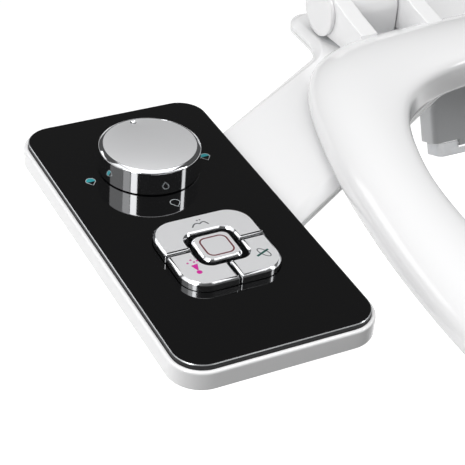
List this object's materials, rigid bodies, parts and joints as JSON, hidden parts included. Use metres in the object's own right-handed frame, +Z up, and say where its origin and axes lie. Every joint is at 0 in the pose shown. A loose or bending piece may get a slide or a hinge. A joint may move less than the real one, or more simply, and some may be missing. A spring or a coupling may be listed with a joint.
{
  "type": "electric bidet seat",
  "caption": "Slim under-seat bidet: glass touch-and-dial control panel on an arm, base plate with adjusting discs, retracting nozzles with a swing gate, and a hinged seat ring.",
  "frame": {"origin": "midway between the two hinge bolts, on the base plate's underside, which rests on the bowl rim", "axes": "+X to the right as seen from the front, +Y to the rear, +Z up; the hinge bolts point along -Z"},
  "size_m": [0.4593, 0.475, 0.096],
  "materials": {
    "white_plastic": "gloss white",
    "grey_plastic": "satin grey",
    "black_plastic": "matt black",
    "black_glass": "polished black glass",
    "chrome": "mirror chrome",
    "satin_metal": "satin",
    "steel": "plain steel",
    "brass": "turned brass",
    "ceramic": "lapped",
    "rubber": "matt",
    "bumper_rubber": "pale grey",
    "board_green": "solder mask green",
    "solenoid_blue": "blue coil cover",
    "clear_tube": "translucent",
    "clear_gate": "translucent"
  },
  "bodies": {
    "base": {"panel_housing": "white_plastic", "panel_cover": "white_plastic", "panel_screws": "steel", "glass_plate": "black_glass", "glass_gasket": "rubber", "valve_nut": "brass", "spindle_seal": "rubber", "flow_valve_body": "brass", "valve_disc_fixed": "ceramic", "spring_rear_wash": "steel", "spring_front_wash": "steel", "spring_nozzle_clean": "steel", "spring_stop": "steel", "button_frame": "black_plastic", "control_board": "board_green", "tact_switches": "black_plastic", "valve_manifold": "grey_plastic", "solenoid_rear_wash": "solenoid_blue", "solenoid_front_wash": "solenoid_blue", "solenoid_nozzle_clean": "solenoid_blue", "feed_tubes": "clear_tube", "inlet_nipple": "brass", "inlet_filter": "steel", "inlet_seal": "rubber", "lead_gland": "black_plastic", "base_tray": "white_plastic", "base_cover": "white_plastic", "base_screws": "steel", "base_pads": "rubber", "tube_rear_wash": "clear_tube", "tube_front_wash": "clear_tube", "tube_nozzle_clean": "clear_tube", "hinge_bolts": "steel", "hinge_post_left": "white_plastic", "hinge_post_right": "white_plastic", "hinge_pins": "steel", "nozzle_housing": "grey_plastic", "nozzle_carrier": "black_plastic", "nozzle_inlet_block": "grey_plastic", "spring_nozzle_rear": "steel", "spring_nozzle_front": "steel", "gate_pin": "steel"},
    "knob": {"knob_body": "chrome", "knob_cap": "satin_metal", "knob_spindle": "brass", "valve_disc_turning": "ceramic"},
    "rear_wash_button": {"button_rear_wash": "chrome"},
    "front_wash_button": {"button_front_wash": "chrome"},
    "nozzle_clean_button": {"button_nozzle_clean": "chrome"},
    "stop_button": {"button_stop": "chrome"},
    "left_disc": {"adjuster_disc_left": "grey_plastic"},
    "right_disc": {"adjuster_disc_right": "grey_plastic"},
    "seat": {"seat_ring": "white_plastic", "seat_bumpers": "bumper_rubber", "hinge_caps": "white_plastic"},
    "rear_nozzle": {"nozzle_rear_wash": "white_plastic", "nozzle_rear_tip": "steel"},
    "front_nozzle": {"nozzle_front_wash": "white_plastic", "nozzle_front_tip": "steel"},
    "gate": {"nozzle_gate": "clear_gate"}
  },
  "joints": [
    {"name": "knob_turn", "type": "hinge", "parent": "base", "child": "knob", "pos_m": [-0.237, -0.0873, 0.01], "axis": [0, 0, 1], "range_deg": [-135, 135]},
    {"name": "rear_wash_press", "type": "slide", "parent": "base", "child": "rear_wash_button", "axis": [0, 0, -1], "range_m": [0, 0.0011], "stiffness_N_per_m": 1200, "springref_m": -0.0012, "deforming": ["spring_rear_wash"]},
    {"name": "front_wash_press", "type": "slide", "parent": "base", "child": "front_wash_button", "axis": [0, 0, -1], "range_m": [0, 0.0011], "stiffness_N_per_m": 1200, "springref_m": -0.0012, "deforming": ["spring_front_wash"]},
    {"name": "nozzle_clean_press", "type": "slide", "parent": "base", "child": "nozzle_clean_button", "axis": [0, 0, -1], "range_m": [0, 0.0011], "stiffness_N_per_m": 1200, "springref_m": -0.0012, "deforming": ["spring_nozzle_clean"]},
    {"name": "stop_press", "type": "slide", "parent": "base", "child": "stop_button", "axis": [0, 0, -1], "range_m": [0, 0.0011], "stiffness_N_per_m": 1200, "springref_m": -0.0012, "deforming": ["spring_stop"]},
    {"name": "seat_hinge", "type": "hinge", "parent": "base", "child": "seat", "pos_m": [0, 0, 0.022], "axis": [-1, 0, 0], "range_deg": [0, 100]},
    {"name": "left_disc_turn", "type": "hinge", "parent": "base", "child": "left_disc", "pos_m": [-0.073, 0, 0.003], "axis": [0, 0, 1], "range_deg": [-90, 90]},
    {"name": "right_disc_turn", "type": "hinge", "parent": "base", "child": "right_disc", "pos_m": [0.073, 0, 0.003], "axis": [0, 0, 1], "range_deg": [-90, 90]},
    {"name": "rear_nozzle_slide", "type": "slide", "parent": "base", "child": "rear_nozzle", "axis": [0, -0.3907, -0.9205], "range_m": [0, 0.028], "stiffness_N_per_m": 40, "springref_m": -0.02, "deforming": ["spring_nozzle_rear"]},
    {"name": "front_nozzle_slide", "type": "slide", "parent": "base", "child": "front_nozzle", "axis": [0, -0.3907, -0.9205], "range_m": [0, 0.028], "stiffness_N_per_m": 40, "springref_m": -0.02, "deforming": ["spring_nozzle_front"]},
    {"name": "gate_swing", "type": "hinge", "parent": "base", "child": "gate", "pos_m": [0, -0.05242, -0.04475], "axis": [-1, 0, 0], "range_deg": [0, 70]}
  ]
}
